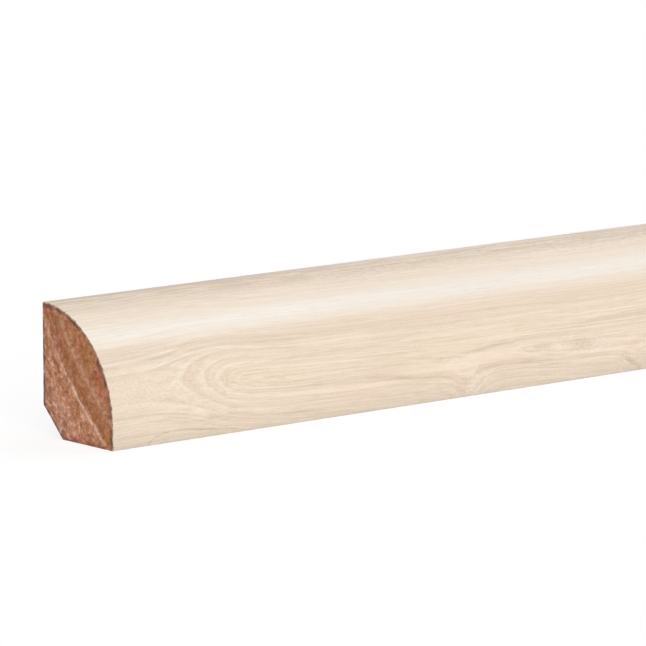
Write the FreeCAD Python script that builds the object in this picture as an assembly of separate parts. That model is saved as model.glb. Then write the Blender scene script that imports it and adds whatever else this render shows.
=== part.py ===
"""Quarter round moulding: a timber bar of quarter round section with a thin oak veneer bonded to its round face.

The bar lies on its floor face, as it does in use along the foot of a wall. Its length runs along X, its wall
face looks along +Y and its round face looks out over the floor, along -Y. The origin is under the middle of the
bar, on the floor. All sizes are in millimetres.

The section has five sides. From the tip, its highest point, the wall face runs straight down. The back bevel cuts
off the corner that would otherwise sit in the corner of wall and floor. The floor face runs out to the toe. The toe
land is the short upright there, and the round face is a quarter circle from the land back up to the tip.
"""
import FreeCAD, Part
import math
import os

# Driving sizes
stock_length = 2387.6       # 94 in, the length that this trim is sold in
round_radius = 15.875       # 5/8 in, the radius of the finished round face
toe_land = 3.175            # 1/8 in, the upright at the toe, below the quarter circle
back_bevel = 4.4            # leg of the 45 degree bevel that clears the corner of wall and floor
veneer_thickness = 0.2      # sliced oak, bonded to the bar
arris_radius = 0.15         # sanded edges of the veneer, at the tip and at the toe

# Sizes worked out from those above
depth = round_radius        # from the wall face out to the toe
core_radius = round_radius - veneer_thickness
arris = min(arris_radius, 0.9 * veneer_thickness)
near_end = -stock_length / 2


def at(out, up):
    """A point of the section at the near end, from its distance out from the wall face and up from the floor."""
    return FreeCAD.Vector(near_end, depth / 2 - out, up)


def line(start, end):
    """A straight stretch of the section's outline."""
    return Part.LineSegment(at(*start), at(*end)).toShape()


def arc(centre, radius, start_angle, end_angle):
    """A round stretch of the outline, with angles in degrees from level, rising from the floor side to the tip."""
    def on_circle(angle):
        turn = math.radians(angle)
        return at(centre[0] + radius * math.cos(turn), centre[1] + radius * math.sin(turn))

    middle_angle = (start_angle + end_angle) / 2
    return Part.Arc(on_circle(start_angle), on_circle(middle_angle), on_circle(end_angle)).toShape()


def extruded(edges):
    """The closed outline made by these edges, run along the whole length of the bar."""
    face = Part.Face(Part.Wire(edges))
    return face.extrude(FreeCAD.Vector(stock_length, 0, 0))


def make_core_bar():
    """The timber bar: wall face, back bevel, floor face, and the round that carries the veneer."""
    return extruded([
        line((0, toe_land + core_radius), (0, back_bevel)),
        line((0, back_bevel), (back_bevel, 0)),
        line((back_bevel, 0), (core_radius, 0)),
        line((core_radius, 0), (core_radius, toe_land)),
        arc((0, toe_land), core_radius, 0, 90),
    ])


def make_face_veneer():
    """The veneer: one bent sheet from the floor, up the toe land and over the round to the wall face."""
    toe_arris = (depth - arris, arris)
    tip_arris_angle = math.degrees(math.asin(arris / (round_radius - arris)))
    tip_arris_up = toe_land + (round_radius - arris) * math.cos(math.radians(tip_arris_angle))
    return extruded([
        line((core_radius, toe_land), (core_radius, 0)),
        line((core_radius, 0), (depth - arris, 0)),
        arc(toe_arris, arris, -90, 0),
        line((depth, arris), (depth, toe_land)),
        arc((0, toe_land), round_radius, 0, 90 - tip_arris_angle),
        arc((arris, tip_arris_up), arris, 90 - tip_arris_angle, 180),
        line((0, tip_arris_up), (0, toe_land + core_radius)),
        arc((0, toe_land), core_radius, 90, 0),
    ])


def main():
    pieces = {
        "core_bar": make_core_bar(),
        "face_veneer": make_face_veneer(),
    }
    os.makedirs("parts", exist_ok=True)
    for name, shape in pieces.items():
        shape.exportStep(f"parts/{name}.step")
        print(name, "valid", shape.isValid(), "volume", round(shape.Volume, 1), "box", shape.BoundBox)


main()
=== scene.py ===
# %% [markdown]
# # A quarter round moulding
# This trim covers the gap between a floor and a wall or a skirting board. It is a bar of reddish timber
# with a very thin sheet of pale oak glued round its curved face. The bar is 94 inches long and no thicker
# than a thumb, so nearly everything that makes it look real is in the grain: long oak figure on the face,
# and raw end grain where the saw went through. The measured solids are loaded first, and each visible piece
# is then built finely around them.

import math

import bpy
import numpy as np
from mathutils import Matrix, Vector, noise


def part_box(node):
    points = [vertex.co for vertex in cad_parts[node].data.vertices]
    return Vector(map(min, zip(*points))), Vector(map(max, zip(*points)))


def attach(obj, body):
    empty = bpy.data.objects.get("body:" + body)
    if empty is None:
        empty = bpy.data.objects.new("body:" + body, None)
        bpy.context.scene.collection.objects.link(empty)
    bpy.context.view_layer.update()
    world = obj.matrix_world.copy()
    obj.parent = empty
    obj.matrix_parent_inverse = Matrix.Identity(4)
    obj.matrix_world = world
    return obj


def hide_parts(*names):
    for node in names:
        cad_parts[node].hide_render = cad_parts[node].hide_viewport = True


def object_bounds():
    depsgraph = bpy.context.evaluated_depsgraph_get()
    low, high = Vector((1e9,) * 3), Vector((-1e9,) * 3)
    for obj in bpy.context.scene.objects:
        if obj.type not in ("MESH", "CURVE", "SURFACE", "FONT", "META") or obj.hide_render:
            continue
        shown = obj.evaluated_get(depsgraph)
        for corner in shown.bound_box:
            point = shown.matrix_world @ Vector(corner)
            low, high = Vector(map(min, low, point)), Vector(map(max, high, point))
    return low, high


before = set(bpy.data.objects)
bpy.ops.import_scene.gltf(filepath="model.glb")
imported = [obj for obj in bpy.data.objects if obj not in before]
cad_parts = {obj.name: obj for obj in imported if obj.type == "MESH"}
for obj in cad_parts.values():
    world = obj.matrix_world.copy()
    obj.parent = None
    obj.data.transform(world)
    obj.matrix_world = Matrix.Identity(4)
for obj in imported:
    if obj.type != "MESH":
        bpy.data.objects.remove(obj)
cad_low, cad_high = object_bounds()
print("box", tuple(cad_low), tuple(cad_high))

# %% [markdown]
# ## The sizes of the section
# All of them come from the two measured solids. The veneer reaches out as far as the radius of the round
# face, the bar stops one veneer thickness short of it, and what is left below the quarter circle is the
# upright land at the toe. Only the bevel's leg isn't on a box, so it is a value of its own.

# %% Read the sizes from the frame
mm = 0.001
core_low, core_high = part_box("core_bar")
sheet_low, sheet_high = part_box("face_veneer")

stock_length = cad_high.x - cad_low.x
near_end = cad_low.x
wall_side = cad_high.y
round_radius = sheet_high.y - sheet_low.y
veneer_thickness = core_low.y - sheet_low.y
core_radius = round_radius - veneer_thickness
toe_land = core_high.z - core_radius
back_bevel = 4.4 * mm
sheet_height = toe_land + math.pi / 2 * round_radius
print("length", stock_length, "radius", round_radius, "veneer", veneer_thickness, "land", toe_land)


def at(along, out, up):
    """A point from its distance along the bar, out from the wall face and up from the floor."""
    return (near_end + along, wall_side - out, up)


# %% [markdown]
# ## Where the cross sections stand along the bar
# A straight bar needs few cross sections, but its sawn ends need many: there the edge is chipped and rough
# within the last millimetres. So the stations stand close together at both ends and spread out towards the
# middle. Making each step a quarter longer than the last is a cheap way to do that.

# %% Stations along the length
def stations(first_step, widest_step):
    """Distances along the bar, close together at both ends and no further apart than the widest step."""
    half, here, step = [0.0], 0.0, first_step
    while here + step < stock_length / 2:
        here += step
        half.append(here)
        step = min(step * 1.25, widest_step)
    return np.array(half + [stock_length - place for place in reversed(half)])


# %% [markdown]
# ## Rough sawn ends
# A fine saw leaves two marks. The teeth draw shallow parallel scores over the whole end, and where they
# break out through the thin sheet they tear small chips from its edge. Both are real shape here, a few
# hundredths to a few tenths of a millimetre deep, so they catch the light and break the outline. They only
# ever cut into the bar, so the bar keeps its measured length.

# %% Helpers for the sawn ends
saw_across = (0.42, 0.91)
score_pace = 5.2
score_depth = 0.012 * mm
fibre_depth = 0.07 * mm
nibble_depth = 0.12 * mm
bite_depth = 1.1 * mm
bitten_above = 0.56


def drift(*place):
    """Smooth noise between 0 and 1 at a place given in millimetres."""
    return 0.5 + 0.5 * noise.noise(Vector((*place, 0.0, 0.0)[:3]))


def saw_marks(out, up, seed):
    """How deep the saw and the torn fibres cut into an end, in metres."""
    across = (out * saw_across[0] + up * saw_across[1]) / mm
    sway = 2.0 * drift(out / mm * 0.2, up / mm * 0.2, seed)
    scores = 0.5 + 0.5 * math.sin(across * score_pace + sway)
    fibres = drift(out / mm * 1.9, up / mm * 1.9, seed + 7.0)
    return score_depth * scores + fibre_depth * fibres ** 2


def chips(up_sheet, seed):
    """How deep the edge of the veneer is chipped at a place up the sheet, in metres."""
    place = up_sheet / mm
    nibbles = drift(place * 2.3, seed, 1.0) ** 2 * nibble_depth
    bites = max(0.0, drift(place * 0.9, seed, 5.0) - bitten_above) * bite_depth
    return nibbles + bites * drift(place * 5.0, seed, 9.0)


# %% [markdown]
# ## The sheet of veneer
# The veneer is one strip of oak, 0.2 mm thick, bent from the toe over the round to the top of the wall
# face. Its section is built as two rows of points, the outer face and the glued face, with the same number
# of points in each, so the strip can be stitched with plain quads. Each point knows its place up the flat
# sheet. The material draws its grain from that, so the grain bends round the bar as it does on the real
# one.

# %% Outline of the veneer
arris = 0.15 * mm
land_steps = 10
round_steps = 84
arris_steps = 5


def arc(centre_out, centre_up, radius, start, end, steps):
    """Points on a circle in the section, with angles in degrees from level, and the last point left out."""
    angles = np.radians(np.linspace(start, end, steps, endpoint=False))
    return [(centre_out + radius * math.cos(a), centre_up + radius * math.sin(a)) for a in angles]


def up_the_sheet(out, up, radius):
    """Distance up the bent sheet from the toe to a point of the section, along a face of that radius."""
    if up <= toe_land:
        return up
    return toe_land + math.atan2(up - toe_land, out) * radius


def outer_row():
    """The outer face, from the glued corner at the toe to the glued corner at the tip."""
    tip_angle = math.degrees(math.asin(arris / (round_radius - arris)))
    tip_up = toe_land + (round_radius - arris) * math.cos(math.radians(tip_angle))
    row = [(core_radius, 0.0)]
    row += arc(round_radius - arris, arris, arris, -90, 0, arris_steps)
    row += [(round_radius, up) for up in np.linspace(arris, toe_land, land_steps, endpoint=False)]
    row += arc(0.0, toe_land, round_radius, 0, 90 - tip_angle, round_steps)
    row += arc(arris, tip_up, arris, 90 - tip_angle, 180, arris_steps)
    return row + [(0.0, tip_up), (0.0, toe_land + core_radius)]


def glued_row(outer):
    """The glued face, which lies on the bar, with a point under each point of the outer face."""
    length = toe_land + math.pi / 2 * core_radius
    least = 0.02 * mm
    places = [up_the_sheet(out, up, core_radius) for out, up in outer]
    for i in range(1, len(places)):
        places[i] = max(places[i], places[i - 1] + least)
    places[-1] = length
    for i in range(len(places) - 2, 0, -1):
        places[i] = min(places[i], places[i + 1] - least)
    angles = [max(0.0, place - toe_land) / core_radius for place in places]
    return [
        (core_radius * math.cos(angle), min(place, toe_land) + core_radius * math.sin(angle))
        for place, angle in zip(places, angles)
    ]


veneer_outer = outer_row()
veneer_glued = glued_row(veneer_outer)
print("veneer outline", len(veneer_outer), "points a side")

# %% [markdown]
# ## Turning rows of points into a mesh
# Both pieces are the same kind of thing: a closed outline repeated at every station, joined by quads, with
# a cap on each end. One helper makes the object, gives it the values that its material reads and keeps
# creases sharp where two faces meet at a real edge.
#
# A bake of the finished material needs a flat map of the piece, and a bar this long is a poor fit for a
# square picture. So each piece also gets its own map: the long faces are cut into rows that lie one above
# the other, and the sawn ends have a patch of their own.

# %% Helpers for meshes and maps
crease_angle = math.radians(38)


def put_in_scene(name, data):
    """A new object in the scene."""
    made = bpy.data.objects.new(name, data)
    bpy.context.collection.objects.link(made)
    return made


def make_object(name, points, faces, values, corners):
    """A mesh object with named values at its points and a map with one place for each face corner."""
    mesh = bpy.data.meshes.new(name)
    mesh.from_pydata(points, [], faces)
    for label, numbers in values.items():
        numbers = np.array(numbers, dtype=float)
        kind = "FLOAT" if numbers.ndim == 1 else "FLOAT_VECTOR"
        layer = mesh.attributes.new(label, kind, "POINT")
        layer.data.foreach_set("value" if numbers.ndim == 1 else "vector", numbers.ravel())
    bake_map = mesh.uv_layers.new(name="OFBake")
    bake_map.uv.foreach_set("vector", np.array([c for face in corners for c in face], dtype=float).ravel())
    mesh.polygons.foreach_set("use_smooth", [True] * len(faces))
    mesh.set_sharp_from_angle(angle=crease_angle)
    mesh.validate()
    print(name, len(points), "points", len(faces), "faces")
    return put_in_scene(name, mesh)


def running_length(row):
    """Distance along a row of points of the section, from its first point to each of them."""
    steps = [math.dist(a, b) for a, b in zip(row, row[1:])]
    return np.concatenate([[0.0], np.cumsum(steps)])


def side_quad(k, i, around):
    """The quad between station k and the next, and between point i of the outline and the next."""
    j = (i + 1) % around
    here, there = k * around, (k + 1) * around
    return (here + i, there + i, there + j, here + j)


def side_corners(here, there, span, row_ends, rows_up, row_tall):
    """Map places for a quad between two stations. Its span across the row runs from 0 to 1."""
    row = int(np.searchsorted(row_ends[1:-1], here, side="right"))
    start, end = row_ends[row], row_ends[row + 1]
    left, right = (here - start) / (end - start), (there - start) / (end - start)
    low, high = [rows_up[row] + share * row_tall for share in span]
    return [(left, low), (right, low), (right, high), (left, high)]


# %% Places on the map of the veneer
# The first of the rows is the shortest, because the near end shows most.
gap = 0.006
cap_gap = 0.010
veneer_rows = 4
veneer_row_tall = 0.226
thin_row = 0.012


def stacked(rows, tall):
    """Where map rows of one height start, one above the other."""
    return [gap + row * (tall + gap) for row in range(rows)]


def nearest_stations(places, shares):
    """The stations nearest to these shares of the length."""
    return [min(places, key=lambda place: abs(place - share * stock_length)) for share in shares]


veneer_stations = stations(0.05 * mm, 9.0 * mm)
veneer_row_ends = nearest_stations(veneer_stations, (0.0, 0.1, 0.4, 0.7, 1.0))
veneer_rows_up = stacked(veneer_rows, veneer_row_tall)
glued_up = veneer_rows_up[-1] + veneer_row_tall + gap
caps_up = [glued_up + thin_row + gap, glued_up + 2 * thin_row + gap + cap_gap]
face_map = (veneer_row_ends, veneer_rows_up, veneer_row_tall)
glued_map = ([0.0, stock_length], [glued_up], thin_row)

count = len(veneer_outer)
loop = veneer_outer + veneer_glued[-2:0:-1]
loop_places = running_length(loop + loop[:1])
face_width = loop_places[count - 1]


def face_share(i):
    """How far across the outer face a point of it lies, from 0 to 1."""
    return loop_places[i] / face_width


def glued_share(i):
    """How far across the glued face a point of it lies, from 0 to 1."""
    return (loop_places[i] - face_width) / (loop_places[-1] - face_width)


# %% Build the veneer
chipped_length = 0.6 * mm
glued_bite = 0.55


def veneer_points():
    """Every point of the strip, and what the material reads there, by name."""
    points, sheet, edge, sawn = [], [], [], []
    for place in veneer_stations:
        from_end = min(place, stock_length - place)
        fade = max(0.0, 1.0 - from_end / chipped_length)
        inward, seed = (1, 3.0) if place < stock_length / 2 else (-1, 11.0)
        for i, (out, up) in enumerate(loop):
            outer = i < count
            height = up_the_sheet(out, up, round_radius)
            bite = chips(height, seed) * (1.0 if outer else glued_bite)
            along = place + inward * bite * fade
            points.append(at(along, out, up))
            sheet.append((along / mm, height / mm, 0.0 if outer else veneer_thickness / mm))
            edge.append(min(height, max(0.0, sheet_height - height)) / mm)
            sawn.append(float(from_end == 0.0))
    return points, {"sheet": sheet, "edge": edge, "sawn": sawn}


def veneer_sides():
    """The long quads and their map places: rows for the outer face and one thin row for the glued face."""
    faces, corners = [], []
    for k, (here, there) in enumerate(zip(veneer_stations, veneer_stations[1:])):
        for i in range(len(loop)):
            faces.append(side_quad(k, i, len(loop)))
            if i < count - 1:
                span = (face_share(i), face_share(i + 1))
                corners.append(side_corners(here, there, span, *face_map))
            else:
                span = (glued_share(i), glued_share(i + 1))
                corners.append(side_corners(here, there, span, *glued_map))
    return faces, corners


def veneer_caps():
    """The sawn ends: a strip of quads between the two faces, with a triangle at its toe and at its tip."""
    faces, corners = [], []
    for k, base in zip((0, len(veneer_stations) - 1), caps_up):
        for i in range(count - 1):
            face = [i, i + 1]
            spots = [(face_share(i), base), (face_share(i + 1), base)]
            if i + 1 < count - 1:
                face.append(len(loop) - i - 1)
                spots.append((face_share(i + 1), base + thin_row))
            if i > 0:
                face.append(len(loop) - i)
                spots.append((face_share(i), base + thin_row))
            if k > 0:
                face.reverse()
                spots.reverse()
            faces.append(tuple(k * len(loop) + corner for corner in face))
            corners.append(spots)
    return faces, corners


def build_veneer():
    """The whole strip: outer face, glued face and both sawn ends."""
    points, values = veneer_points()
    sides, side_map = veneer_sides()
    caps, cap_map = veneer_caps()
    return make_object("oak_face", points, sides + caps, values, side_map + cap_map)


veneer = build_veneer()

# %% [markdown]
# ## The timber bar
# The bar fills the rest of the section: wall face, bevel, floor face, and the land and round that the
# veneer is glued to. A planer leaves its corners almost sharp, so the two corners of the bevel each get a
# radius of a quarter of a millimetre and no more. The sawn ends are what the eye goes to, so each is a fine
# net of rings that shrink towards the middle, and every point of the net is cut in by the saw's scores and
# torn fibres.

# %% Outline of the bar
core_step = 0.34 * mm
corner_radius = 0.25 * mm


def straight(start, end, step):
    """Evenly spaced points from start towards end, with the last point left out."""
    steps = max(1, round(math.dist(start, end) / step))
    return [tuple(np.add(start, np.subtract(end, start) * i / steps)) for i in range(steps)]


def eased_corner(before, corner, after, radius, steps=4):
    """Points that round off a corner between two straight sides."""
    back = np.subtract(before, corner) / math.dist(before, corner)
    on = np.subtract(after, corner) / math.dist(after, corner)
    half = math.acos(float(np.dot(back, on))) / 2
    reach = radius / math.tan(half)
    start, end = np.array(corner) + back * reach, np.array(corner) + on * reach
    pull = [i / steps for i in range(steps + 1)]
    return [tuple((1 - t) ** 2 * start + 2 * t * (1 - t) * np.array(corner) + t ** 2 * end) for t in pull]


def core_outline():
    """The closed outline of the bar, from the toe up the land, over the round and down the wall face."""
    toe, tip = (core_radius, 0.0), (0.0, toe_land + core_radius)
    wall_low, floor_back = (0.0, back_bevel), (back_bevel, 0.0)
    upper = eased_corner(tip, wall_low, floor_back, corner_radius)
    lower = eased_corner(wall_low, floor_back, toe, corner_radius)
    outline = straight(toe, (core_radius, toe_land), core_step)
    outline += arc(0.0, toe_land, core_radius, 0, 90, round(math.pi / 2 * core_radius / core_step))
    outline += straight(tip, upper[0], core_step) + upper[:-1]
    outline += straight(upper[-1], lower[0], core_step) + lower[:-1]
    return outline + straight(lower[-1], toe, core_step)


bar_outline = core_outline()
bar_stations = stations(0.08 * mm, 40 * mm)
print("bar outline", len(bar_outline), "points,", len(bar_stations), "stations")

# %% Long sides of the bar
net_rings = 38
net_middle = np.array((core_radius * 0.42, toe_land + core_radius * 0.36))
edge_break = 0.07 * mm
least_turn = math.radians(8)
near_seed, far_seed = 17.0, 31.0
bar_rows = 3
bar_row_tall = 0.17
bar_rows_up = stacked(bar_rows, bar_row_tall)
bar_row_ends = nearest_stations(bar_stations, np.linspace(0, 1, bar_rows + 1))
bar_map = (bar_row_ends, bar_rows_up, bar_row_tall)
bar_places = running_length(bar_outline + bar_outline[:1])


def is_corner(i):
    """Whether the outline turns clearly at this point."""
    before, here, after = bar_outline[i - 1], bar_outline[i], bar_outline[(i + 1) % len(bar_outline)]
    one, two = np.subtract(here, before), np.subtract(after, here)
    cosine = np.dot(one, two) / (np.linalg.norm(one) * np.linalg.norm(two))
    return math.acos(min(1.0, cosine)) > least_turn


def end_point(out, up, far):
    """A point on a sawn end, cut in by the saw."""
    depth = saw_marks(out, up, far_seed if far else near_seed)
    return at(stock_length - depth if far else depth, out, up)


def rim_point(i, k):
    """A point of the outline on a sawn end, pulled in a little and unevenly, as the saw breaks the edge."""
    out, up = bar_outline[i]
    back = edge_break * (0.4 + 1.2 * drift(bar_places[i] / mm * 1.7, k, 2.0))
    share = back / math.dist((out, up), net_middle)
    return end_point(out - (out - net_middle[0]) * share, up - (up - net_middle[1]) * share, k > 0)


def add_sides(made):
    """The long sides of the bar, from one rim to the other."""
    around = len(bar_outline)
    turns = [bar_places[i] for i in range(around) if is_corner(i)]
    for k, place in enumerate(bar_stations):
        from_end = min(place, stock_length - place)
        for i, (out, up) in enumerate(bar_outline):
            made["points"].append(rim_point(i, k) if from_end == 0.0 else at(place, out, up))
            made["sawn"].append(float(from_end == 0.0))
            made["edge"].append(min(from_end, min(abs(bar_places[i] - turn) for turn in turns)) / mm)
    for k, (here, there) in enumerate(zip(bar_stations, bar_stations[1:])):
        for i in range(around):
            made["faces"].append(side_quad(k, i, around))
            span = (bar_places[i] / bar_places[-1], bar_places[i + 1] / bar_places[-1])
            made["corners"].append(side_corners(here, there, span, *bar_map))


# %% Sawn ends of the bar
patch_up = bar_rows_up[-1] + bar_row_tall + gap
near_patch = (gap, 0.44)
far_patch = (0.55, 0.40)


def add_end_net(made, far):
    """Fills one end with rings that shrink to the middle, stitched to the rim that the long sides end in."""
    around = len(bar_outline)
    rim_start = (len(bar_stations) - 1) * around if far else 0
    rings = [[rim_start + i for i in range(around)]]
    for ring in range(1, net_rings):
        size = 1.0 - ring / net_rings
        rings.append([])
        for out, up in bar_outline:
            spot = net_middle + (np.array((out, up)) - net_middle) * size
            rings[-1].append(len(made["points"]))
            made["points"].append(end_point(spot[0], spot[1], far))
            made["edge"].append(math.dist((out, up), spot) / mm)
    rings.append([len(made["points"])] * around)
    made["points"].append(end_point(net_middle[0], net_middle[1], far))
    made["edge"].append(float(net_middle[0]) / mm)
    made["sawn"] += [1.0] * (len(made["points"]) - len(made["sawn"]))
    for outer, inner in zip(rings, rings[1:]):
        for i in range(around):
            j = (i + 1) % around
            face = [outer[i], outer[j], inner[j]] + ([inner[i]] if inner[i] != inner[j] else [])
            if far:
                face.reverse()
            made["faces"].append(tuple(face))
            made["corners"].append([end_spot(made["points"][name], far) for name in face])


def end_spot(point, far):
    """The map place of a point on a sawn end."""
    left, wide = far_patch if far else near_patch
    scale = wide / (toe_land + core_radius)
    return (left + (wall_side - point[1]) * scale, patch_up + point[2] * scale)


# %% Build the bar
def build_bar():
    """The whole bar: its long sides and two netted ends."""
    made = {"points": [], "faces": [], "corners": [], "sawn": [], "edge": []}
    add_sides(made)
    for far in (False, True):
        add_end_net(made, far)
    values = {"sawn": made["sawn"], "edge": made["edge"]}
    return make_object("timber_bar", made["points"], made["faces"], values, made["corners"])


bar = build_bar()

# %% [markdown]
# ## Small helpers for materials
# A material is a net of nodes, and most of them only do sums. So the output of a node is wrapped here as a
# wire, which can be added to, subtracted from, multiplied and divided like a number, and each such sum puts
# one Math node into the net. That keeps the cells below readable. A few short helpers add the other kinds
# of node. Colours are written as a paint chart gives them, from 0 to 255, and turned into the linear values
# that the renderer works in.

# %% Wires
class Wire:
    """The output of a node. Wires reckon like numbers, with a Math node for each sum."""

    def __init__(self, socket):
        self.socket = socket
        self.tree = socket.id_data

    def __add__(self, other):
        return calc("ADD", self, other)

    def __sub__(self, other):
        return calc("SUBTRACT", self, other)

    def __rsub__(self, other):
        return calc("SUBTRACT", other, self)

    def __mul__(self, other):
        return calc("MULTIPLY", self, other)

    def __truediv__(self, other):
        return calc("DIVIDE", self, other)


def tree_of(*values):
    """The tree that the first wire among these values belongs to."""
    return next(value.tree for value in values if isinstance(value, Wire))


def feed(socket, value):
    """Gives an input a number, a colour or a wire."""
    if isinstance(value, Wire):
        value.tree.links.new(value.socket, socket)
    else:
        socket.default_value = value


def feed_named(node, **named):
    """Feeds inputs of a node by name, with an underscore for each space."""
    for name, value in named.items():
        feed(node.inputs[name.replace("_", " ")], value)


def add(tree, kind, *values, settings=None, **named):
    """Adds a node with its own settings, and feeds its inputs in their order or by name."""
    node = tree.nodes.new("ShaderNode" + kind)
    for name, value in (settings or {}).items():
        setattr(node, name, value)
    for socket, value in zip(node.inputs, values):
        feed(socket, value)
    feed_named(node, **named)
    return node


def calc(operation, *values):
    """Arithmetic on numbers and wires."""
    return Wire(add(tree_of(*values), "Math", *values, settings={"operation": operation}).outputs[0])


# %% Places, noise and masks
def vector(x, y, z):
    """A vector from three numbers or wires."""
    return Wire(add(tree_of(x, y, z), "CombineXYZ", x, y, z).outputs[0])


def parts(place):
    """The three numbers of a vector."""
    return [Wire(socket) for socket in add(place.tree, "SeparateXYZ", place).outputs]


def stretched(place, scale, shift=(0.0, 0.0, 0.0)):
    """A place scaled along each axis and then moved, so that noise read there is drawn out."""
    settings = {"operation": "MULTIPLY_ADD"}
    return Wire(add(place.tree, "VectorMath", place, scale, shift, settings=settings).outputs[0])


def cloud(place, scale, detail=2.0, roughness=0.5):
    """Smooth noise from 0 to 1 at a place."""
    made = add(place.tree, "TexNoise", Vector=place, Scale=scale, Detail=detail, Roughness=roughness)
    return Wire(made.outputs[0])


def centred(value, reach):
    """Noise from 0 to 1 as a shift either way, up to half the reach."""
    return (value - 0.5) * reach


def ramp(value, low, high, to_low=0.0, to_high=1.0):
    """A smooth rise from to_low to to_high while the value goes from low to high."""
    settings = {"interpolation_type": "SMOOTHSTEP"}
    return Wire(add(value.tree, "MapRange", value, low, high, to_low, to_high, settings=settings).outputs[0])


# %% Colours
def paint(red, green, blue):
    """A colour as written on a paint chart, as linear values."""
    shares = [value / 255 for value in (red, green, blue)]
    return tuple(c / 12.92 if c <= 0.04045 else ((c + 0.055) / 1.055) ** 2.4 for c in shares) + (1.0,)


def tint(amount, under, over):
    """One colour laid over another by an amount from 0 to 1."""
    mix = add(tree_of(amount, under, over), "Mix", settings={"data_type": "RGBA"})
    for place, value in ((0, amount), (6, under), (7, over)):
        feed(mix.inputs[place], value)
    return Wire(mix.outputs[2])


def glazed(colour, *layers):
    """A colour with thin layers over it, each an amount, a shade and the masks that cut it down."""
    for amount, shade, *masks in layers:
        for mask in masks:
            amount = mask * amount
        colour = tint(amount, colour, paint(*shade))
    return colour


# %% Node groups and materials
def new_group(name, takes, gives, draw):
    """A node group with named sockets. Draw gets a wire for each input and returns one for each output."""
    tree = bpy.data.node_groups.new(name, "ShaderNodeTree")
    for label, value in takes.items():
        kind = "NodeSocketVector" if isinstance(value, tuple) else "NodeSocketFloat"
        tree.interface.new_socket(label, in_out="INPUT", socket_type=kind).default_value = value
    for label in gives:
        tree.interface.new_socket(label, in_out="OUTPUT", socket_type="NodeSocketFloat")
    inside = tree.nodes.new("NodeGroupInput").outputs
    outside = tree.nodes.new("NodeGroupOutput").inputs
    for label, wire in zip(gives, draw(*[Wire(inside[label]) for label in takes])):
        feed(outside[label], wire)
    return tree


def place_group(group, **named):
    """Places a node group in a material or another group, and returns its outputs by name."""
    node = add(tree_of(*named.values()), "Group", settings={"node_tree": group})
    feed_named(node, **named)
    return {socket.name: Wire(socket) for socket in node.outputs}


def read(tree, label, output="Fac"):
    """A value that the mesh carries at its points."""
    return Wire(add(tree, "Attribute", settings={"attribute_name": label}).outputs[output])


def new_material(name):
    """A new material, its tree and its shader."""
    material = bpy.data.materials.new(name)
    material.use_nodes = True
    return material, material.node_tree, material.node_tree.nodes["Principled BSDF"]


# %% [markdown]
# ## Grain that both pieces share
# Wood is drawn here with four effects, each a node group, because the oak and the timber both need them
# with other values. **Growth rings** turn a distance from the heart of the tree into the thin porous line
# of spring and the denser band of summer, which ends in a dark late line. **Fibre streaks** are the
# hair-fine lines along the grain. **Vessels** are the pores: long dashes on a face and dots on an end.
# **Worn edge** gives a ragged border along an edge.

# %% Growth rings
def draw_growth_rings(ring, spacing, unevenness):
    """The share of spring wood, summer wood and late line at a distance from the heart."""
    years = ring / spacing
    uneven = cloud(vector(years * 0.45, 3.7, 0.0), 1.0, 1.0)
    part = calc("FRACT", years + centred(uneven, 4.0) * unevenness)
    spring = calc("MAXIMUM", ramp(part, 0.0, 0.36, 1.0, 0.0), ramp(part, 0.86, 1.0))
    late = ramp(part, 0.60, 0.76) * ramp(part, 0.80, 0.92, 1.0, 0.0)
    return spring, ramp(part, 0.45, 0.88), late


growth_rings = new_group("growth_rings", {"Ring": 0.0, "Spacing": 1.2, "Unevenness": 0.35},
                         ("Spring", "Summer", "Late"), draw_growth_rings)


# %% Fibre streaks
def draw_fibre_streaks(place, fineness, length, waver):
    """Lines that run along the first axis of the place and sway a little."""
    x, y, z = parts(place)
    along = x / length
    sway = cloud(vector(along * 0.6, y, z), 0.35, 1.0)
    across = (y + centred(sway, waver)) * fineness
    streak = cloud(vector(along, across, z * fineness), 1.0, 3.0, 0.62)
    return (ramp(streak, 0.36, 0.64),)


fibre_streaks = new_group("fibre_streaks",
                          {"Place": (0.0, 0.0, 0.0), "Fineness": 3.0, "Length": 12.0, "Waver": 0.3},
                          ("Streak",), draw_fibre_streaks)


def streaks(place, fineness, length, waver):
    """The streaks at a place."""
    return place_group(fibre_streaks, Place=place, Fineness=fineness, Length=length,
                       Waver=waver)["Streak"]


# %% Vessels
def draw_vessels(place, fineness, length, width, share):
    """Dots drawn out along the first axis of the place, one in each cell of a share of the cells."""
    x, y, z = parts(place)
    spot = vector(x / length, y * fineness, z * fineness)
    cell = add(place.tree, "TexVoronoi", Vector=spot, Scale=1.0, Randomness=1.0, settings={"feature": "F1"})
    dot = ramp(Wire(cell.outputs["Distance"]), width * 0.5, width, 1.0, 0.0)
    red = Wire(add(place.tree, "SeparateColor", Wire(cell.outputs["Color"])).outputs[0])
    return (dot * calc("LESS_THAN", red, share),)


vessels = new_group("vessels",
                    {"Place": (0.0, 0.0, 0.0), "Fineness": 2.0, "Length": 6.0, "Width": 0.3, "Share": 0.5},
                    ("Vessel",), draw_vessels)


def pores(place, fineness, length, width, share):
    """The vessels at a place."""
    return place_group(vessels, Place=place, Fineness=fineness, Length=length, Width=width,
                       Share=share)["Vessel"]


# %% Worn edge
def draw_worn_edge(edge, place, width, raggedness):
    """A border that is whole close to the edge and ragged further in."""
    moved = edge + centred(cloud(place, 0.9, 3.0, 0.7), 2.0) * raggedness
    return (ramp(moved, width * 0.4, width, 1.0, 0.0),)


worn_edge = new_group("worn_edge", {"Edge": 1.0, "Place": (0.0, 0.0, 0.0), "Width": 0.4, "Raggedness": 0.5},
                      ("Worn",), draw_worn_edge)
print("groups", [group.name for group in bpy.data.node_groups])
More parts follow.
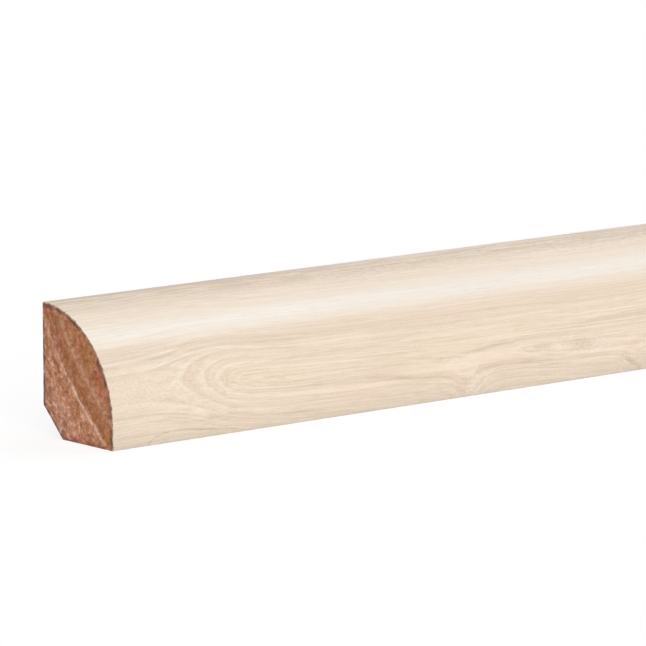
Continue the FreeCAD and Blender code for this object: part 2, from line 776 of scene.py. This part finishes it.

# %% [markdown]
# ## The figure of the oak
# A veneer knife takes a flat slice out of a round log, near its heart and a little askew. Where the slice
# grazes a ring, the ring shows as a pointed arch, and arch within arch makes the cathedral figure that oak
# is known for. So the figure isn't painted. Two curves say how deep the heart lies under the sheet and how
# high up the sheet it runs, and the distance from the heart gives the ring. A swirl pushes the rings aside,
# as a twig does, and a third curve dips them down to the edge of the sheet beside the toe, as a burr just
# below the edge does. The curves are given over the first stretch, and further along the bar slow
# noise takes their place.

# %% Swirls and patches
def draw_swirl(along, up, centre_along, centre_up, half_length, half_height, steepness, push):
    """A soft oval: full push in its middle, falling off to nothing outside it."""
    x = (along - centre_along) / half_length
    y = (up - centre_up) / half_height
    return (calc("EXPONENT", calc("POWER", x * x + y * y, steepness) * -1.0) * push,)


swirl = new_group("swirl", {"Along": 0.0, "Up": 0.0, "Centre along": 0.0, "Centre up": 0.0,
                            "Half length": 10.0, "Half height": 3.0, "Steepness": 1.0, "Push": 1.0},
                  ("Shift",), draw_swirl)


def make_patch(where, place, high, long, tall, push=1.0, steepness=1.0):
    """A soft oval patch, from its middle and half sizes in millimetres."""
    return place_group(swirl, Along=where[0], Up=where[1], Centre_along=place, Centre_up=high,
                       Half_length=long, Half_height=tall, Steepness=steepness, Push=push)["Shift"]


# %% Curves through given knots
curve_length = 150.0
curve_top = 30.0


def hand_curve(along, knots):
    """A smooth curve through given knots of distance along and height, both in millimetres."""
    made = add(along.tree, "FloatCurve", Value=along / curve_length)
    points = made.mapping.curves[0].points
    for place, height in knots[1:-1]:
        points.new(place / curve_length, height / curve_top)
    points[0].location = (0.0, knots[0][1] / curve_top)
    points[len(points) - 1].location = (1.0, knots[-1][1] / curve_top)
    made.mapping.update()
    return Wire(made.outputs[0]) * curve_top


# %% Rings cut by the veneer knife
heart_depth = ((0, 5.3), (5, 5.25), (9, 5.0), (12.7, 4.5), (16.6, 3.42), (19.6, 2.26), (22, 1.3), (25, 0.6),
               (30, 0.3), (45, 0.25), (55, 0.5), (62, 0.95), (68, 1.3), (75, 1.35), (77.5, 1.1), (82, 0.7),
               (90, 0.5), (98, 0.7), (112, 1.4), (150, 3.4))
heart_height = ((0, 8.4), (9, 8.6), (12.7, 8.6), (16.6, 8.4), (20, 7.9), (24, 7.5), (31, 7.0), (37, 6.7),
                (50, 6.3), (61, 6.0), (77, 5.9), (90, 5.4), (112, 5.8), (150, 8.0))
toe_dip = ((0, 0), (50, 0), (57, 0.4), (62, 1.4), (65, 2.9), (66.2, 3.2), (67.5, 2.5), (69.5, 1.0), (72, 0.2),
           (76, 0), (86, 0.3), (95, 0.8), (98, 2.2), (99.6, 2.6), (102, 1.2), (106, 0.3), (150, 0))
dip_top = 5.2
twig = (17.0, -0.6, 9.0, 1.7, 1.6)
hand_drawn_to = 118.0
free_from = 160.0


def draw_oak_figure(sheet):
    """The distance from the heart of the tree at a place on the sheet."""
    along, up, _ = parts(sheet)
    beyond = ramp(along, hand_drawn_to, free_from)
    depth_wave = cloud(vector(along * 0.011, 5.0, 0.0), 1.0, 1.0)
    height_wave = cloud(vector(along * 0.006, 9.0, 0.0), 1.0, 1.0)
    free_depth = calc("ABSOLUTE", ramp(depth_wave, 0.32, 0.72, -5.0, 9.0))
    free_height = ramp(height_wave, 0.30, 0.70, 3.0, 20.0)
    depth = hand_curve(along, heart_depth) * (1.0 - beyond) + free_depth * beyond
    rise = up - (hand_curve(along, heart_height) * (1.0 - beyond) + free_height * beyond)
    ring = calc("SQRT", rise * rise + depth * depth) + make_patch((along, up), *twig)
    dip_share = calc("MAXIMUM", dip_top - up, 0.0) / dip_top
    ring = ring - hand_curve(along, toe_dip) * dip_share
    slow = cloud(stretched(sheet, (0.02, 0.10, 0.0), (0.0, 0.0, 2.0)), 1.0)
    quick = cloud(stretched(sheet, (0.35, 0.9, 0.0), (0.0, 0.0, 4.0)), 1.0)
    return (ring + centred(slow, 0.6) + centred(quick, 0.3),)


oak_figure = new_group("oak_figure", {"Sheet": (0.0, 0.0, 0.0)}, ("Ring",), draw_oak_figure)
print("figure drawn by hand over the first", hand_drawn_to, "mm")

# %% [markdown]
# ## Lines and patches of their own
# Not every mark follows a ring. Where the tree took up minerals, one dark line stands out among the pale
# ones, a wide pore runs on as a cream line, and where fibres stand up round a burr, the sheet shows small
# mottled patches. These few are listed one by one: a line by the knots that it passes through, and a patch
# by its middle and size.
# The two brown lines near the tip are painted shade along the top of the round.

# %% Lines drawn along the grain
def draw_drawn_line(along, up, height, half_width, start, end, fade):
    """A soft line at a height, which fades in after its start and out before its end."""
    away = (up - height) / half_width
    begun, ended = ramp(along, start, start + fade), ramp(along, end - fade, end)
    return (calc("EXPONENT", away * away * -1.0) * (begun * (1.0 - ended)),)


drawn_line = new_group("drawn_line", {"Along": 0.0, "Up": 0.0, "Height": 0.0, "Half width": 0.2,
                                      "Start": 0.0, "End": 10.0, "Fade": 4.0},
                       ("Mark",), draw_drawn_line)


def draw_line(where, half, start, end, fade, knots):
    """A line through knots, with its half width, and the places where it starts and ends and how slowly."""
    along, up = where
    return place_group(drawn_line, Along=along, Up=up, Height=hand_curve(along, knots), Half_width=half,
                       Start=start, End=end, Fade=fade)["Mark"]


# %% Lines listed one by one
grey_brown, painted_shade_brown, band_brown, cream = (178, 154, 130), (172, 128, 84), (223, 200, 174), (254, 243, 227)
# Each line is its amount, shade, half width, start, end, fade and knots.
lines = (
    (0.32, grey_brown, 0.32, 33, 66, 6,
     ((0, 5.2), (36, 5.1), (45, 4.85), (49.5, 4.75), (55, 4.05), (59.3, 3.5), (62, 3.3), (63.3, 2.9),
      (65.5, 1.5), (67, 0.5), (150, 0))),
    (0.38, grey_brown, 0.44, 65, 88, 7,
     ((0, 3), (64, 3), (66.2, 3.4), (68.3, 3.7), (72, 4.15), (75, 4.1), (78.3, 3.7), (81, 3.4), (88, 3.1),
      (150, 3))),
    (0.40, grey_brown, 0.30, 56, 84, 12,
     ((0, 6.1), (57, 6.1), (67.9, 6.55), (73.3, 7.2), (78.3, 7.45), (86.6, 7.8), (150, 9))),
    (0.22, grey_brown, 0.50, 78, 116, 9,
     ((0, 7.4), (78.3, 7.5), (86.6, 7.9), (95, 8.65), (102.5, 8.85), (150, 9.9))),
    (0.85, grey_brown, 0.09, 5.6, 10.4, 1,
     ((0, 0.1), (6.0, 0.2), (7.0, 0.85), (8.3, 1.3), (10.4, 1.55), (150, 0))),
    (0.52, grey_brown, 0.12, 10.2, 25, 5,
     ((0, 1.6), (10.4, 1.65), (12.4, 1.6), (16, 1.2), (23, 0.6), (150, 0))),
    (0.42, grey_brown, 0.62, 96.6, 102, 1.5,
     ((0, 4), (95, 3.4), (97.6, 2.4), (100.2, 0.7), (102, 0), (150, 0))),
    (0.28, grey_brown, 0.26, 75, 97, 4,
     ((0, 6.4), (76, 6.3), (78, 5.4), (80, 4.9), (84.2, 4.2), (92.5, 3.5), (150, 2))),
    (0.06, grey_brown, 0.20, -9, 40, 9,
     ((0, 12.85), (5, 12.95), (9, 13.3), (13, 13.6), (17, 13.6), (25, 13.2), (40, 12.6), (150, 11.0))),
    (0.07, grey_brown, 0.24, -9, 62, 9,
     ((0, 11.4), (5, 11.6), (10, 12.15), (14, 12.7), (18, 12.9), (25, 12.8), (35, 12.4), (50, 11.8),
      (150, 10.0))),
    (0.20, grey_brown, 0.40, 6, 46, 8,
     ((0, 4.0), (8, 3.7), (16, 2.9), (24, 2.2), (36, 1.3), (46, 0.6), (150, 0))),
    (0.85, cream, 0.20, -9, 15, 3,
     ((0, 12.0), (2.8, 12.15), (5.7, 12.3), (9.3, 12.7), (11.9, 12.95), (15, 13.3), (150, 14))),
    (0.85, cream, 0.21, 4, 31, 5,
     ((0, 9.2), (4.8, 10.25), (7.1, 10.7), (9.3, 11.0), (11.9, 11.5), (14.2, 12.0), (17, 12.3), (19.8, 12.5),
      (23.5, 12.3), (27, 11.8), (31, 11.4), (150, 10))),
    (0.75, cream, 0.18, 21, 54, 12,
     ((0, 7), (20.4, 8.65), (23.5, 9.0), (27, 8.75), (36.5, 8.2), (50, 7.6), (150, 6))),
    (0.70, cream, 0.18, 23, 47, 9,
     ((0, 6), (20, 5.6), (24.9, 5.0), (28.3, 4.5), (36.5, 4.1), (50, 3.8), (150, 3))),
    # The last two lines, along the top of the round near the tip, are painted shade.
    (0.70, painted_shade_brown, 0.55, -20, 56, 18,
     ((0, 27.3), (20, 27.3), (36, 27.3), (50, 27.4), (150, 27.2))),
    (0.14, painted_shade_brown, 0.26, 45, 170, 12,
     ((0, 26.4), (50, 26.2), (70, 26.2), (95, 26.0), (150, 23.8))),
)

# %% Patches listed one by one
# Each patch is its middle along and up the sheet, its half length, its half height and its strength.
pale_patches = (
    (64, 4.9, 4.0, 0.9, 1.0), (84.4, 5.4, 1.9, 0.9, 1.6), (84.0, 4.6, 1.6, 0.4, 1.0),
    (92.6, 5.1, 1.7, 1.2, 1.7), (89.0, 4.1, 4.4, 0.32, 1.7), (97.7, 4.2, 1.3, 0.6, 1.0),
    (66.9, 1.7, 1.0, 1.8, 1.5), (13.5, 4.9, 3.2, 0.5, 1.0), (17.0, 3.8, 3.2, 0.5, 1.0),
)
dark_patches = (
    (64.6, 1.4, 1.3, 1.2, 1.0), (89.1, 5.2, 3.4, 0.80, 2.2), (79.5, 5.8, 1.8, 0.7, 1.0),
    (21.3, 7.3, 1.0, 0.5, 1.0), (49.5, 5.6, 4.5, 0.6, 0.8), (58.8, 3.9, 2.8, 0.6, 0.9),
)
print(len(lines), "lines,", len(pale_patches), "pale and", len(dark_patches), "dark patches")

# %% [markdown]
# ## Satin oak
# The oak is limed and lacquered: cream, with its pores filled almost white, so the spring lines show paler
# than the wood between them. The colour is a stack of thin layers, the broad ones first: pink and straw
# clouds, summer bands, a browner band on the round that is painted shade over the sheen, stronger further
# along the bar, and a band of painted shade under it, then streaks, spring lines and pores. Towards the tip
# the sheet is browner and busier, with short streaks and grit; the browner tone there is partly painted
# shade, and the toe is darker with painted shade too. Each layer is weak, because on the real sheet nothing
# is more than a few steps darker or lighter than what is beside it. In the quiet zones, where the knife
# grazed a ring almost flat, the rings give way to a fine mottle. Lacquer lies over all of it, a little less
# smooth in the pores.

# %% Grain of the oak
quiet_zones = ((4.5, 7.8, 8.0, 2.8, 0.85), (18.0, 7.6, 11.0, 4.6, 0.34))
clear_zones = ((15.0, 8.2, 16.0, 6.0, 0.55), (76.0, 3.2, 20.0, 3.6, 0.30), (63.4, 1.6, 5.2, 2.6, -0.26))


def clear_rings(along, up, ring):
    """How plainly the rings show: most inside the clear zones, less elsewhere, and not at the very heart."""
    clear = ramp(along, hand_drawn_to, free_from, 0.0, 0.3)
    for zone in clear_zones:
        clear = clear + make_patch((along, up), *zone, 2.0)
    clear = clear + ramp(up, 11.0, 14.0, 0.32, 0.12)
    off_heart = calc("MAXIMUM", ramp(ring, 1.25, 1.9), ramp(along, 50.0, 62.0))
    return calc("MINIMUM", clear, 1.0) * off_heart


def read_oak_grain(sheet):
    """The masks of the oak's grain over the sheet, by name."""
    along, up, _ = parts(sheet)
    ring = place_group(oak_figure, Sheet=sheet)["Ring"]
    rings = place_group(growth_rings, Ring=ring, Spacing=1.13, Unevenness=0.06)
    contour = vector(along, ring, up * 0.45)
    grit = cloud(stretched(sheet, (1.7, 3.6, 1.0)), 1.0, 3.0, 0.75)
    tip_grit = cloud(stretched(sheet, (0.9, 2.1, 1.0)), 1.0, 1.0, 0.6)
    quiet = 0.0
    for zone in quiet_zones:
        quiet = calc("MAXIMUM", quiet, make_patch((along, up), *zone, 1.5))

    return {
        "along": along, "up": up, "spring": rings["Spring"], "summer": rings["Summer"], "late": rings["Late"],
        "fine": streaks(contour, fineness=4.4, length=26.0, waver=0.10),
        "broad": streaks(contour, fineness=1.1, length=70.0, waver=0.3),
        "pore": pores(contour, fineness=3.4, length=3.2, width=0.46, share=0.6),
        "dash": pores(sheet, fineness=4.6, length=4.0, width=0.42, share=0.5),
        "tip_streak": streaks(sheet, fineness=1.5, length=9.0, waver=0.2),
        "tip_grit": ramp(tip_grit, 0.44, 0.58),
        "dark_grit": ramp(grit, 0.50, 0.36), "light_grit": ramp(grit, 0.50, 0.64),
        "quiet": quiet, "lined": 1.0 - quiet, "clear": clear_rings(along, up, ring),
    }


# %% Colour of the oak
def paint_oak(sheet, grain):
    """The clouds, bands, lines and streaks of the oak, from the broadest to the finest."""
    along, up, lined, clear = grain["along"], grain["up"], grain["lined"], grain["clear"]
    pink = ramp(cloud(stretched(sheet, (0.05, 0.16, 0.0), (0.0, 0.0, 1.0)), 1.0), 0.45, 0.75)
    straw = ramp(cloud(stretched(sheet, (0.04, 0.20, 0.0), (0.0, 0.0, 8.0)), 1.0), 0.45, 0.75)
    # Painted shade: a browner band just under the sheen on the round.
    painted_shade_under_round = ramp(up, 10.6, 12.6) * ramp(up, 13.4, 15.2, 1.0, 0.0)
    # Painted shade over the sheen on the round, which grows stronger further along the bar.
    painted_shade_on_round = ramp(up, 13.5, 15.5) * ramp(up, 18.5, 21.0, 1.0, 0.0)
    # Towards the tip, where the round turns up, the browner tone is partly painted shade.
    near_tip = ramp(up, 21.6, 26.2)
    tip_streaks = ramp(grain["tip_streak"], 0.25, 0.75)
    bold = 1.0 - (painted_shade_on_round + near_tip) * 0.4
    broken = ramp(grain["light_grit"], 0.0, 1.0, 0.50, 1.0)
    mottled = ramp(grain["quiet"], 0.0, 0.8, 0.09, 0.26)
    bands = glazed(
        paint(252, 233, 211),
        (0.5, (252, 226, 209), pink),
        (0.5, (252, 235, 204), straw),
        (0.17, (222, 199, 174), grain["summer"], lined, clear),
        (ramp(along, 25.0, 70.0, 0.20, 0.42), band_brown, painted_shade_on_round),
        (ramp(along, 25.0, 70.0, 0.19, 0.14), painted_shade_brown, painted_shade_under_round),
        (0.28, band_brown, grain["broad"], lined, bold),
        (0.24, band_brown, grain["quiet"]),
        (ramp(lined, 0.0, 1.0, 0.08, 0.46), (217, 193, 166), grain["fine"], bold),
        (0.14, (200, 178, 154), grain["late"], lined, clear),
    )
    edges = glazed(
        bands,
        # A browner tone towards the tip, partly painted shade, then the tip's own streaks and grit.
        (0.21, (243, 209, 138), near_tip),
        (ramp(along, 20.0, 70.0, 0.58, 0.48), (188, 150, 102), tip_streaks, near_tip),
        (ramp(along, 15.0, 60.0, 0.08, 0.26), (188, 150, 108), grain["tip_grit"], ramp(up, 19.0, 24.5)),
        # Painted shade: the darkest strip along the very top of the round, strongest at the near end.
        (ramp(along, 20.0, 70.0, 0.42, 0.10), (186, 136, 74), ramp(up, 25.0, 27.8)),
        # Painted shade towards the toe by the floor, and a thin painted shadow along the toe's edge.
        (ramp(up, 0.0, 4.0, 0.34, 0.0), (202, 187, 168)),
        (ramp(up, 0.2, 1.0, 0.24, 0.0), (190, 186, 186)),
    )
    return glazed(
        edges,
        (0.80, cream, grain["spring"], broken, clear),
        (0.14, (253, 242, 227), grain["pore"]),
        (0.22, (204, 182, 156), grain["dash"]),
        (mottled, (204, 180, 154), grain["dark_grit"]),
        (mottled, cream, grain["light_grit"]),
    )


# %% Marks drawn on the oak
def draw_marks(colour, grain):
    """The single lines, dark and cream, and the mottled patches."""
    where = (grain["along"], grain["up"])
    broken = ramp(grain["fine"], 0.0, 1.0, 0.30, 1.0)
    dark_mottle = ramp(grain["dark_grit"], 0.0, 1.0, 0.35, 1.0)
    pale_mottle = ramp(grain["light_grit"], 0.0, 1.0, 0.25, 1.0)
    drawn = [(amount, shade, draw_line(where, *line), broken) for amount, shade, *line in lines]
    dark = [(0.30, (190, 166, 142), make_patch(where, *patch), dark_mottle) for patch in dark_patches]
    pale = [(0.42, cream, make_patch(where, *patch), pale_mottle) for patch in pale_patches]
    return glazed(colour, *drawn, *dark, *pale)


# %% Material of the veneer
def make_oak_veneer():
    """Satin oak, with the sheet's own edge rubbed a little and its sawn ends scorched in places."""
    material, tree, shader = new_material("satin_oak")
    sheet, edge, sawn = read(tree, "sheet", "Vector"), read(tree, "edge"), read(tree, "sawn")
    grain = read_oak_grain(sheet)
    worn = place_group(worn_edge, Edge=edge, Place=sheet, Width=0.30, Raggedness=0.10)["Worn"]
    colour = glazed(draw_marks(paint_oak(sheet, grain), grain), (0.35, (222, 190, 170), worn))
    scorched = ramp(cloud(sheet, 1.3), 0.42, 0.58)
    cut = tint(scorched, paint(192, 148, 128), paint(112, 78, 64))
    filled = calc("MAXIMUM", grain["pore"], grain["spring"])
    height = grain["fine"] * -0.35 - grain["pore"] * 0.6
    bump = add(tree, "Bump", Strength=0.35, Distance=0.03 * mm, Height=height)
    feed_named(shader, Base_Color=tint(sawn * 0.9, colour, cut), Roughness=ramp(filled, 0.0, 1.0, 0.42, 0.52),
               Specular_IOR_Level=0.1, Coat_Weight=1.0, Coat_Roughness=0.28, Coat_IOR=1.5,
               Normal=Wire(bump.outputs[0]))
    return material


veneer.data.materials.append(make_oak_veneer())

# %% [markdown]
# ## Raw timber
# The bar is a reddish hardwood, raw from saw and planer. The rings of its tree ran round a heart far above
# and in front of this bar, so they cross the end as nearly straight slanting bands, with one thin pale line
# of beads among them. The material works on the wood's own place in space, as if the bar were cut from a
# block: the same rings that make bands on the end make long lines on the sides, and the same vessels make
# dots on the end and dashes on the sides. Glue and the heat of the saw leave the rim of the end dark and
# uneven.

# %% Grain of the timber
heart_out = 59.0
heart_up = 53.4


def read_timber_grain(spot):
    """The masks of the timber's grain, and its place round the heart of the tree, by name."""
    along, across, up = parts(spot)
    out = wall_side / mm - across
    beside, above = heart_out - out, heart_up - up
    wobble = cloud(stretched(spot, (0.01, 1.0, 1.0)), 0.16)
    ring = calc("SQRT", beside * beside + above * above) + centred(wobble, 0.5)
    round_heart = vector(along, ring, calc("ARCTAN2", above, beside) * 60.0)
    flecks = cloud(stretched(round_heart, (0.05, 1.5, 1.4)), 1.0, 4.0, 0.68)
    ray = cloud(stretched(round_heart, (0.1, 0.35, 2.2)), 1.0)
    fuzz = cloud(stretched(spot, (0.1, 1.0, 1.0)), 7.0, 3.0, 0.7)
    return {
        "where": (out, up), "ring": ring, "flecks": flecks,
        "light_fleck": ramp(flecks, 0.51, 0.67), "dark_fleck": ramp(flecks, 0.50, 0.35),
        "summer": place_group(growth_rings, Ring=ring, Spacing=2.3, Unevenness=0.5)["Summer"],
        "fibre": streaks(round_heart, fineness=1.6, length=30.0, waver=0.4),
        "pore": pores(round_heart, fineness=1.7, length=14.0, width=0.55, share=0.5),
        "pin_hole": pores(round_heart, fineness=4.2, length=9.0, width=0.42, share=0.65),
        "ray": ramp(ray, 0.52, 0.68), "fuzz": ramp(fuzz, 0.35, 0.65), "paler": ramp(ring, 69.4, 70.4),
    }


# %% Bands and stains of the timber
# Each band is its distance from the heart and its shade.
timber_bands = (
    (62.0, (188, 124, 74)), (64.2, (190, 112, 70)), (65.7, (190, 132, 94)), (66.1, (222, 166, 136)),
    (66.6, (182, 116, 72)), (68.5, (173, 105, 52)), (68.9, (186, 126, 90)), (69.2, (212, 154, 124)),
    (69.5, (210, 150, 122)), (69.9, (204, 140, 104)), (70.4, (191, 125, 78)), (72.9, (212, 147, 114)),
    (73.4, (216, 164, 138)), (74.1, (194, 132, 102)), (77.0, (190, 132, 104)),
)
nearest_ring = timber_bands[0][0]
ring_span = timber_bands[-1][0] - nearest_ring
seam_ring = 69.35
# Each stain is its shade, its middle out and up, its half width, its half height and its strength.
stains = (
    ((182, 130, 60), 10.3, 12.4, 1.5, 2.4, 0.70), ((192, 142, 72), 7.8, 15.7, 1.0, 1.2, 0.60),
    ((196, 130, 58), 14.6, 1.4, 1.7, 1.7, 0.65), ((198, 96, 70), 12.7, 10.2, 0.9, 1.0, 0.75),
    ((196, 104, 88), 0.8, 18.2, 1.5, 1.0, 0.70), ((204, 104, 84), 7.4, 0.6, 2.4, 0.6, 0.75),
    ((204, 124, 74), 1.3, 8.8, 0.6, 3.2, 0.55), ((190, 112, 94), 3.4, 13.6, 2.0, 2.2, 0.60),
    ((228, 204, 194), 3.9, 1.3, 0.6, 0.9, 0.80), ((150, 106, 62), 3.2, 16.9, 2.0, 1.0, 0.50),
)


def beaded_seam(grain):
    """The masks of the pale line across the end: its width, its beads and its fading towards the tip."""
    away = calc("ABSOLUTE", grain["ring"] + centred(grain["flecks"], 0.5) - seam_ring)
    beads = ramp(grain["flecks"], 0.44, 0.58, 0.40, 1.0)
    return ramp(away, 0.10, 0.38, 1.0, 0.0), beads, ramp(grain["where"][1], 7.0, 13.0, 1.0, 0.25)


def band_and_stain(grain):
    """The slanting bands, which the flecks make ragged, the pale line and the mottled stains over them."""
    strayed = grain["ring"] + centred(grain["flecks"], 1.3)
    chart = add(strayed.tree, "ValToRGB", (strayed - nearest_ring) / ring_span)
    stops = chart.color_ramp.elements
    for _ in timber_bands[2:]:
        stops.new(0.5)
    for stop, (distance, shade) in zip(stops, timber_bands):
        stop.position = (distance - nearest_ring) / ring_span
        stop.color = paint(*shade)
    colour = glazed(Wire(chart.outputs[0]), (1.0, (255, 212, 184), *beaded_seam(grain)))
    mottled = centred(grain["flecks"], 1.6) + 1.0
    for shade, *stain in stains:
        patch = make_patch(grain["where"], *stain) * mottled
        colour = glazed(colour, (ramp(patch, 0.1, 0.9), shade))
    return colour


# %% Colour of the timber
def paint_timber(grain):
    """Bands and stains first, then the fibres, flecks, rays and pores."""
    return glazed(
        band_and_stain(grain),
        (0.16, (142, 90, 56), grain["summer"]),
        (0.24, (138, 86, 54), grain["fibre"]),
        (0.68, (122, 72, 44), grain["dark_fleck"]),
        (0.18, (130, 80, 50), grain["fuzz"]),
        (ramp(grain["paler"], 0.0, 1.0, 0.32, 0.92), (242, 188, 164), grain["light_fleck"]),
        (0.15, (210, 156, 122), grain["ray"]),
        (ramp(grain["paler"], 0.0, 1.0, 0.10, 0.38), (236, 188, 160), grain["pore"]),
        (0.32, (100, 58, 40), grain["pin_hole"]),
    )


def add_rim(colour, spot, edge, sawn):
    """The dark uneven rim of the sawn ends, and a trace of it along the bar's corners."""
    worn = place_group(worn_edge, Edge=edge, Place=spot, Width=0.70, Raggedness=0.75)["Worn"]
    patchy = ramp(cloud(spot, 0.33, 2.0, 0.6), 0.40, 0.56, 0.12, 1.0)
    shade = tint(ramp(cloud(spot, 0.8, 1.0), 0.42, 0.60), paint(74, 50, 44), paint(122, 88, 80))
    return tint(worn * patchy * ramp(sawn, 0.0, 1.0, 0.15, 0.85), colour, shade)


# %% Material of the bar
def make_core_timber():
    """Raw timber, dull, with open pores and standing fibres."""
    material, tree, shader = new_material("raw_timber")
    spot = stretched(Wire(add(tree, "TexCoord").outputs["Object"]), (1 / mm, 1 / mm, 1 / mm))
    grain = read_timber_grain(spot)
    colour = add_rim(paint_timber(grain), spot, read(tree, "edge"), read(tree, "sawn"))
    height = (grain["fibre"] - grain["pore"]) * 0.6
    bump = add(tree, "Bump", Strength=0.5, Distance=0.06 * mm, Height=height)
    feed_named(shader, Base_Color=colour, Roughness=0.82, Normal=Wire(bump.outputs[0]))
    return material


bar.data.materials.append(make_core_timber())

# %% [markdown]
# ## Riding on the frame
# The measured part is one rigid body, so both pieces ride on it. Each stands for the solid that it was
# built around, which the renderer then hides.

# %% Join the pieces to the frame
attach(veneer, "root")
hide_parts("face_veneer")
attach(bar, "root")
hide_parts("core_bar")

# %% [markdown]
# ## Floor and light
# The bar lies on a white studio floor that runs out of sight. Sky and floor look white to the camera and in
# reflections, while the light on the wood stays at a plain level: the colour of a surface that faces the
# light comes out about as it was painted. Four soft lights do the work: a pale sky all round, a wide lamp
# in front of the round face, a second one overhead, further along the bar, and a small cool one beside it
# that shows only in the lacquer, as the soft white line along the round. The lamps are suns, because a sun
# lights all 94 inches alike.

# %% Floor
sky_level = 0.38
white = (1.0, 1.0, 1.0)
lamps = (
    ("front_lamp", (-0.58, -0.76, 0.30), 2.20, 60, white),
    ("overhead_lamp", (0.63, 0.0, 0.77), 0.42, 50, white),
)
gloss_lamp = ("gloss_lamp", (0.63, -0.055, 0.77), 0.32, 18, (0.26, 0.66, 1.0))
lamp_light = [level * Vector(towards).normalized().z / math.pi for _, towards, level, _, _ in lamps]
floor_light = sky_level + sum(lamp_light)
floor_reach = 60.0
floor_drop = 0.02 * mm
floor_grey = 0.80
floor_shade = 0.34


def seen_directly(tree):
    """1 where the camera looks straight, in a mirror or through glass, and 0 for light going elsewhere."""
    path = add(tree, "LightPath").outputs
    kinds = ("Camera", "Glossy", "Transmission")
    straight_on, mirror, glass = [Wire(path[f"Is {kind} Ray"]) for kind in kinds]
    return calc("MAXIMUM", calc("MAXIMUM", straight_on, mirror), glass)


def make_floor():
    """A great pale square just under the bar, which can be looked through from below."""
    mesh = bpy.data.meshes.new("studio_floor")
    turns = ((-1, -1), (1, -1), (1, 1), (-1, 1))
    square = [(x * floor_reach, y * floor_reach, -floor_drop) for x, y in turns]
    mesh.from_pydata(square, [], [(0, 1, 2, 3)])
    material, tree, shader = new_material("floor_white")
    seen = seen_directly(tree)
    grey = tint(seen, (floor_grey,) * 3 + (1.0,), (floor_shade,) * 3 + (1.0,))
    glow = seen * (1.0 - floor_shade * floor_light)
    feed_named(shader, Base_Color=grey, Roughness=1.0, Specular_IOR_Level=0.0, Emission_Color=(*white, 1.0),
               Emission_Strength=glow)
    below = Wire(add(tree, "NewGeometry").outputs["Backfacing"])
    clear = Wire(add(tree, "BsdfTransparent").outputs[0])
    mix = add(tree, "MixShader", below, Wire(shader.outputs[0]), clear)
    feed(tree.nodes["Material Output"].inputs["Surface"], Wire(mix.outputs[0]))
    mesh.materials.append(material)
    floor = put_in_scene("studio_floor", mesh)


make_floor()

# %% Sky and lamps
def make_sky():
    """An even pale sky that looks plain white."""
    world = bpy.data.worlds.new("studio_sky")
    world.use_nodes = True
    level = seen_directly(world.node_tree) * (1.0 - sky_level) + sky_level
    feed_named(world.node_tree.nodes["Background"], Strength=level, Color=(*white, 1.0))
    bpy.context.scene.world = world


def make_lamp(name, towards, level, width, colour):
    """A soft sun. Towards points from the bar to the lamp, and width is its angle in the sky in degrees."""
    light = bpy.data.lights.new(name, "SUN")
    light.energy, light.angle, light.color = level, math.radians(width), colour
    lamp = put_in_scene(name, light)
    lamp.rotation_euler = Vector(towards).to_track_quat("Z", "Y").to_euler()
    return lamp


make_sky()
for lamp in lamps:
    make_lamp(*lamp)
make_lamp(*gloss_lamp).visible_diffuse = False
print("light on the floor", round(floor_light, 3))

# %% [markdown]
# ## Camera
# The photo is taken with a long lens from about 70 cm away, low over the floor and well to the side, so
# that the sawn end and the round face both show and the bar runs out of the picture. The camera's place is
# given from the foot of the near end's wall face.

# %% Camera
view_azimuth = math.radians(-40.245)
view_elevation = math.radians(9.468)
camera_offset = Vector((-0.42204, -0.55949, 0.13270))
lens = 282.04
sensor_width = 36.0
nearest_seen = 0.01
furthest_seen = 500.0


def make_camera():
    """A camera at the photo's viewing angle."""
    data = bpy.data.cameras.new("camera")
    data.lens, data.sensor_width = lens, sensor_width
    data.clip_start, data.clip_end = nearest_seen, furthest_seen
    camera = put_in_scene("camera", data)
    level = math.cos(view_elevation)
    back = Vector((math.sin(view_azimuth) * level, -math.cos(view_azimuth) * level, math.sin(view_elevation)))
    camera.location = Vector((near_end, wall_side, 0.0)) + camera_offset
    camera.rotation_euler = back.to_track_quat("Z", "Y").to_euler()
    bpy.context.scene.camera = camera


make_camera()
bpy.context.scene.view_settings.view_transform = "Standard"
